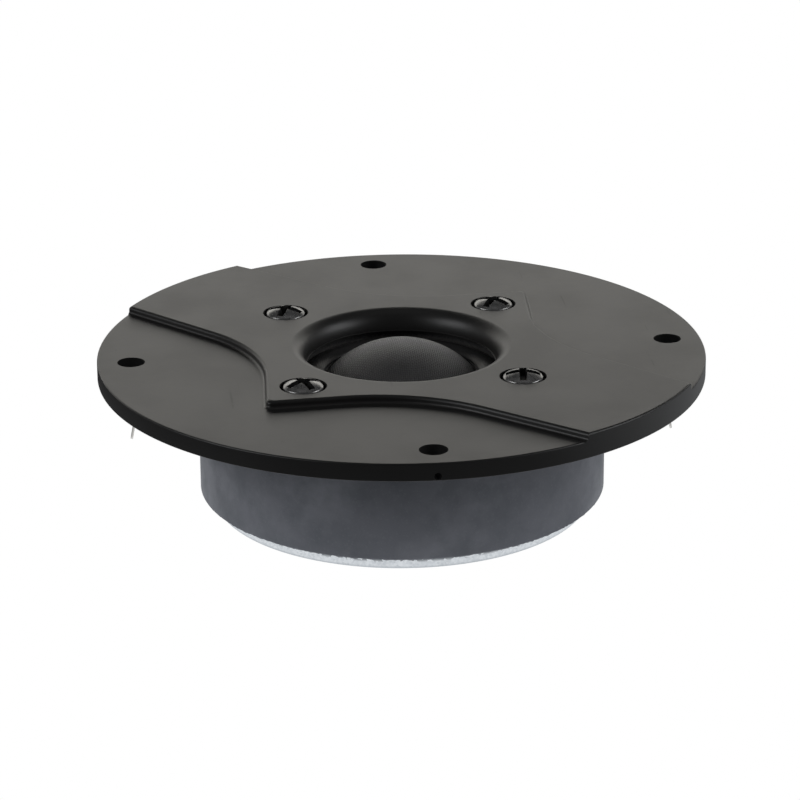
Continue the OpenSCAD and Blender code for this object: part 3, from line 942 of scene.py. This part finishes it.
def mix_surround_cloth():
    finish = Finish("coated_surround_cloth", (0.026, 0.0255, 0.025), 0.36)
    finish.tint(finish.use(SMUDGES, "Mask", Scale=260.0), (0.036, 0.035, 0.034), 0.7)
    finish.roughen(finish.use(SMUDGES, "Mask", Scale=300.0), 0.12)
    finish.bump(finish.use(WEAVE, "Height", Pitch=0.0004), 0.03, 0.5)
    finish.bump(finish.use(GRAIN, "Height", Scale=1500.0), 0.02, 0.5)
    return finish.material


def mix_ferrite():
    finish = Finish("ground_ferrite", (0.146, 0.152, 0.172), 0.50, Specular_IOR_Level=0.15)
    finish.tint(finish.use(SMUDGES, "Mask", Scale=26.0, Low=0.44, High=0.60), (0.228, 0.236, 0.262), 0.85)
    finish.tint(finish.use(SMUDGES, "Mask", Scale=190.0), (0.105, 0.115, 0.130), 0.55)
    finish.tint(finish.use(SPECKLE, "Mask", Scale=3600.0, Share=0.08), (0.21, 0.22, 0.235), 0.15)
    finish.roughen(finish.use(SMUDGES, "Mask", Scale=120.0), 0.12)
    finish.bump(finish.use(GRAIN, "Height", Scale=2200.0), 0.015)
    return finish.material


def mix_zinc():
    finish = Finish("bright_zinc", (0.84, 0.86, 0.88), 0.30, 1.0)
    height = add_node(finish.tree, "ShaderNodeSeparateXYZ", {0: finish.place}).outputs["Z"]
    near_magnet = spread(finish.tree, height, (BACK_PLATE_Z - 1.35) * MM, (BACK_PLATE_Z - 0.8) * MM)
    # Darker towards the back face: painted shade along the foot of the plate's rim, next to the floor.
    foot_shade = spread(finish.tree, height, (MAGNET_BACK_Z - 2.0) * MM, (MAGNET_BACK_Z - 2.45) * MM)
    pits = finish.use(SPECKLE, "Mask", Scale=1500.0, Share=0.4)
    finish.tint(finish.use(SPECKLE, "Tone", Scale=2600.0), (0.66, 0.69, 0.72), 0.8)
    finish.tint(foot_shade, (0.42, 0.45, 0.48), 0.8)
    finish.tint(maths(finish.tree, "MULTIPLY", pits, near_magnet), (0.07, 0.08, 0.09), 0.95)
    finish.roughen(finish.use(SMUDGES, "Mask", Scale=400.0), 0.15)
    finish.bump(finish.use(SPECKLE, "Tone", Scale=2600.0), 0.03, 0.5)
    finish.bump(finish.use(GRAIN, "Height", Scale=1800.0), 0.03, 0.6)
    return finish.material


def mix_tinned_brass():
    finish = Finish("tinned_brass", (0.78, 0.76, 0.72), 0.26, 1.0)
    finish.tint(finish.use(SMUDGES, "Mask", Scale=500.0), (0.55, 0.53, 0.49), 0.7)
    finish.roughen(finish.use(SMUDGES, "Mask", Scale=700.0), 0.14)
    finish.bump(finish.use(SCRATCHES, "Mask", Scale=5000.0, Share=0.7), 0.006)
    finish.bump(finish.use(GRAIN, "Height", Scale=3000.0), 0.008)
    return finish.material


def mix_foam():
    finish = Finish("closed_cell_foam", (0.03, 0.03, 0.03), 0.85)
    finish.tint(finish.use(SPECKLE, "Mask", Scale=4000.0, Share=0.4), (0.012, 0.012, 0.012), 0.9)
    finish.bump(finish.use(SPECKLE, "Tone", Scale=4000.0), 0.06)
    return finish.material


def mix_card():
    finish = Finish("black_pressed_card", (0.035, 0.034, 0.032), 0.8)
    finish.tint(finish.use(SPECKLE, "Mask", Scale=2500.0, Share=0.2), (0.07, 0.068, 0.062), 0.6)
    finish.tint(finish.use(SMUDGES, "Mask", Scale=300.0), (0.022, 0.021, 0.02), 0.7)
    finish.bump(finish.use(GRAIN, "Height", Scale=2200.0), 0.04)
    return finish.material


def mix_carrier_plastic():
    finish = Finish("glass_filled_plastic", (0.022, 0.022, 0.024), 0.48)
    finish.tint(finish.use(SPECKLE, "Mask", Scale=3200.0, Share=0.12), (0.07, 0.07, 0.072), 0.5)
    finish.roughen(finish.use(SMUDGES, "Mask", Scale=150.0), 0.1)
    finish.bump(finish.use(GRAIN, "Height", Scale=2600.0), 0.015)
    return finish.material


def mix_solder():
    finish = Finish("bright_solder", (0.70, 0.71, 0.73), 0.2, 1.0)
    finish.tint(finish.use(SMUDGES, "Mask", Scale=1500.0), (0.42, 0.40, 0.36), 0.6)
    finish.roughen(finish.use(SMUDGES, "Mask", Scale=2200.0), 0.2)
    finish.bump(finish.use(GRAIN, "Height", Scale=3500.0), 0.02)
    return finish.material


def mix_braid():
    finish = Finish("tinsel_copper", (0.72, 0.36, 0.20), 0.3, 1.0)
    finish.tint(finish.use(SMUDGES, "Mask", Scale=1800.0), (0.35, 0.16, 0.09), 0.7)
    finish.roughen(finish.use(SMUDGES, "Mask", Scale=2600.0), 0.2)
    finish.bump(finish.use(SCRATCHES, "Mask", Scale=9000.0, Share=0.9), 0.01)
    return finish.material


def mix_amber_glue():
    finish = Finish("amber_glue", (0.36, 0.20, 0.05), 0.18, Coat_Weight=0.4)
    finish.tint(finish.use(SMUDGES, "Mask", Scale=700.0), (0.22, 0.11, 0.03), 0.8)
    finish.bump(finish.use(GRAIN, "Height", Scale=900.0), 0.03)
    return finish.material


def mix_foil():
    finish = Finish("rolled_foil", (0.74, 0.76, 0.78), 0.28, 1.0)
    finish.tint(finish.use(SMUDGES, "Mask", Scale=400.0), (0.55, 0.56, 0.57), 0.6)
    finish.roughen(finish.use(SMUDGES, "Mask", Scale=900.0), 0.12)
    finish.bump(finish.use(TURNING, "Height", Pitch=0.00012, Upright=1.0), 0.003)
    return finish.material


def mix_coil_wire():
    finish = Finish("enamelled_wire", (0.62, 0.24, 0.09), 0.22, 0.9, Coat_Weight=0.6)
    finish.tint(finish.use(SMUDGES, "Mask", Scale=800.0), (0.42, 0.14, 0.05), 0.8)
    finish.roughen(finish.use(SMUDGES, "Mask", Scale=1500.0), 0.1)
    finish.bump(finish.use(GRAIN, "Height", Scale=3000.0), 0.006)
    return finish.material


def mix_felt():
    finish = Finish("wool_felt", (0.30, 0.29, 0.275), 0.95, Sheen_Weight=0.5, Sheen_Roughness=0.6)
    finish.tint(finish.use(SPECKLE, "Tone", Scale=2400.0), (0.20, 0.19, 0.18), 0.7)
    finish.tint(finish.use(SCRATCHES, "Mask", Scale=3000.0, Share=0.9), (0.48, 0.47, 0.45), 0.5)
    finish.bump(finish.use(GRAIN, "Height", Scale=2600.0), 0.15)
    return finish.material


def mix_cap_copper():
    finish = Finish("drawn_copper", (0.70, 0.34, 0.19), 0.26, 1.0)
    finish.tint(finish.use(SMUDGES, "Mask", Scale=250.0), (0.36, 0.16, 0.09), 0.7)
    finish.roughen(finish.use(SMUDGES, "Mask", Scale=500.0), 0.16)
    finish.bump(finish.use(TURNING, "Height", Pitch=0.0002, Upright=1.0), 0.004)
    return finish.material


def mix_turned_steel():
    finish = Finish("turned_steel", (0.58, 0.58, 0.58), 0.32, 1.0)
    finish.tint(finish.use(SMUDGES, "Mask", Scale=120.0), (0.40, 0.40, 0.40), 0.6)
    finish.roughen(finish.use(SMUDGES, "Mask", Scale=260.0), 0.14)
    finish.bump(finish.use(TURNING, "Height", Pitch=0.00022, Upright=1.0), 0.005)
    finish.bump(finish.use(GRAIN, "Height", Scale=2500.0), 0.008)
    return finish.material


def mix_magnet_glue():
    finish = Finish("structural_glue", (0.13, 0.10, 0.055), 0.5)
    finish.tint(finish.use(SPECKLE, "Mask", Scale=2000.0, Share=0.2), (0.24, 0.19, 0.11), 0.6)
    finish.bump(finish.use(GRAIN, "Height", Scale=1500.0), 0.06)
    return finish.material


# ---- Stage ----

CAMERA_PLACE = (-59.30, -543.22, 203.16)
CAMERA_TURN = 6.2
CAMERA_DROP = 20.956
CAMERA_ROLL = -0.409
CAMERA_LENS = 152.86


def build_camera():
    """Camera 21 degrees above the flange, looking past one mounting hole from a little to its left."""
    turn, drop, roll = (math.radians(a) for a in (CAMERA_TURN, CAMERA_DROP, CAMERA_ROLL))
    ahead = Vector((math.cos(drop) * math.sin(turn), math.cos(drop) * math.cos(turn), -math.sin(drop)))
    level = Vector((math.cos(turn), -math.sin(turn), 0))
    upright = level.cross(ahead)
    right = level * math.cos(roll) + upright * math.sin(roll)
    up = upright * math.cos(roll) - level * math.sin(roll)
    data = bpy.data.cameras.new("camera")
    data.lens = CAMERA_LENS
    data.sensor_width = 36
    data.clip_start = 0.01
    data.clip_end = 20
    camera = bpy.data.objects.new("camera", data)
    rotation = Matrix((right, up, -ahead)).transposed()
    camera.matrix_world = Matrix.Translation(Vector(CAMERA_PLACE) * MM) @ rotation.to_4x4()
    bpy.context.scene.collection.objects.link(camera)
    bpy.context.scene.camera = camera


# Each softbox: name, place, width and height in metres, glow, tint.
SOFTBOXES = [
    ("back_wall", (0.0, 1.10, 0.34), 2.4, 0.52, 1.32, (1.0, 0.98, 0.925)),
    ("left_wall", (-0.90, -0.30, 0.50), 0.7, 0.45, 3.2, (0.97, 0.98, 1.0)),
    ("right_wall", (0.92, -0.26, 0.45), 0.7, 0.45, 3.2, (0.97, 0.98, 1.0)),
    ("left_back", (-1.00, 0.45, 0.20), 0.8, 0.40, 0.3, (1.0, 0.99, 0.97)),
    ("right_back", (1.00, 0.45, 0.20), 0.8, 0.40, 0.3, (1.0, 0.99, 0.97)),
    ("overhead", (0.0, 0.05, 1.10), 1.0, 0.8, 0.14, (1.0, 1.0, 1.0)),
]


def softbox(name, place, width, height, glow, tint):
    """A soft panel that faces the object. Its glow is the brightness of its surface."""
    data = bpy.data.lights.new(name, "AREA")
    data.shape = "RECTANGLE"
    data.size = width
    data.size_y = height
    data.energy = glow * math.pi * width * height
    data.color = tint
    light = bpy.data.objects.new(name, data)
    light.location = place
    light.rotation_euler = (-Vector(place)).to_track_quat("-Z", "Y").to_euler()
    light.visible_camera = False
    bpy.context.scene.collection.objects.link(light)


FLOOR_DROP = 0.1

# The light the floor throws back: a range in metres, then the glow at its two ends.
UNDER_GLOW = (0.045, 0.095, 0.85, 0.0)
SIDE_GLOW = (0.02, 0.08, 0.05, 0.45)
SIDE_GLOW_LEAN = 0.5


def mix_floor_paper():
    """Plain white to look at; it lights the object from under the motor and from its right-hand side."""
    paper = bpy.data.materials.new("white_paper")
    paper.use_nodes = True
    tree = paper.node_tree
    tree.nodes.clear()
    output = add_node(tree, "ShaderNodeOutputMaterial")
    seen = add_node(tree, "ShaderNodeEmission", {"Color": (1, 1, 1, 1)})
    lit = add_node(tree, "ShaderNodeEmission", {"Color": (0.96, 0.98, 1, 1)})
    place = add_node(tree, "ShaderNodeTexCoord").outputs["Object"]
    reach = add_node(tree, "ShaderNodeVectorMath", {0: place}, operation="LENGTH").outputs["Value"]
    near = spread(tree, reach, *UNDER_GLOW)
    parts = add_node(tree, "ShaderNodeSeparateXYZ", {0: place}).outputs
    off_middle = maths(tree, "ABSOLUTE", parts["Y"])
    aside = maths(tree, "SUBTRACT", parts["X"], maths(tree, "MULTIPLY", off_middle, SIDE_GLOW_LEAN))
    far = spread(tree, aside, *SIDE_GLOW)
    tree.links.new(maths(tree, "MAXIMUM", near, far), lit.inputs["Strength"])
    path = add_node(tree, "ShaderNodeLightPath").outputs["Is Camera Ray"]
    blend = add_node(tree, "ShaderNodeMixShader", {0: path, 1: lit.outputs[0], 2: seen.outputs[0]})
    tree.links.new(blend.outputs[0], output.inputs["Surface"])
    return paper


def build_stage():
    scene = bpy.context.scene
    scene.view_settings.view_transform = "Standard"
    scene.world = bpy.data.worlds.new("studio")
    scene.world.use_nodes = True
    background = scene.world.node_tree.nodes["Background"]
    background.inputs["Color"].default_value = (0.9, 0.93, 1.0, 1)
    background.inputs["Strength"].default_value = 0.02
    pick_none()
    floor_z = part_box("back_plate")[0].z - FLOOR_DROP * MM
    bpy.ops.mesh.primitive_plane_add(size=6, location=(0, 0, floor_z))
    floor = bpy.context.object
    floor.name = "floor"
    floor.data.materials.append(mix_floor_paper())
    for box in SOFTBOXES:
        softbox(*box)


# ---- Assembly ----

def place_piece(piece, material, slot, body, *nodes):
    """Gives a modelled piece its finish and lets it stand for its CAD nodes."""
    if material:
        piece.data.materials.clear()
        piece.data.materials.append(material)
    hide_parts(*nodes)
    if body:
        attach(piece, body)


def finish_node(name, material):
    """Keeps a CAD node's own shape and gives it a finish."""
    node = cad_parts[name]
    node.data.materials.clear()
    node.data.materials.append(material)


def build_tabs_and_leads():
    tab, lead = build_tab(), build_lead()
    brass, braid = mix_tinned_brass(), mix_braid()
    for name, turn in (("positive", TERMINAL_ANGLE), ("negative", TERMINAL_ANGLE + 180)):
        own_tab, own_lead = turned_copy(tab, turn), turned_copy(lead, turn)
        own_tab.name = f"tab_{name}"
        own_lead.name = f"tinsel_lead_{name}"
        follow_dome(own_lead)
        place_piece(own_tab, brass, "tinned_brass", "chassis", f"terminal_{name}")
        place_piece(own_lead, braid, "braided_copper", None, f"lead_out_{name}")
    bpy.data.objects.remove(tab)
    bpy.data.objects.remove(lead)


build_camera()
build_stage()
place_piece(build_face_plate(), None, "face_plate_plastic", "chassis", "face_plate")
place_piece(build_screws(), None, "screw_black_nickel", "chassis", "plate_screws")
place_piece(build_dome(), mix_dome_cloth(), "dome_cloth", "diaphragm", "dome")
place_piece(build_surround(), mix_surround_cloth(), "coated_cloth", None, "surround")
place_piece(build_coil(), mix_coil_wire(), "coil_wire", "diaphragm", "voice_coil")
place_piece(build_magnet(), mix_ferrite(), "ferrite", "chassis", "magnet_ring")
zinc = mix_zinc()
place_piece(build_back_plate(), zinc, "zinc_plated_steel", "chassis", "back_plate")
build_tabs_and_leads()
finish_node("locating_pins", zinc)
finish_node("front_gasket", mix_foam())
finish_node("clamp_ring", mix_card())
finish_node("diaphragm_carrier", mix_carrier_plastic())
finish_node("solder_joints", mix_solder())
finish_node("former_glue_bead", mix_amber_glue())
finish_node("coil_former", mix_foil())
felt = mix_felt()
finish_node("dome_damping_pad", felt)
finish_node("pole_felt", felt)
finish_node("copper_cap", mix_cap_copper())
steel = mix_turned_steel()
finish_node("pole_piece", steel)
finish_node("top_plate", steel)
glue = mix_magnet_glue()
finish_node("front_glue_ring", glue)
finish_node("rear_glue_ring", glue)
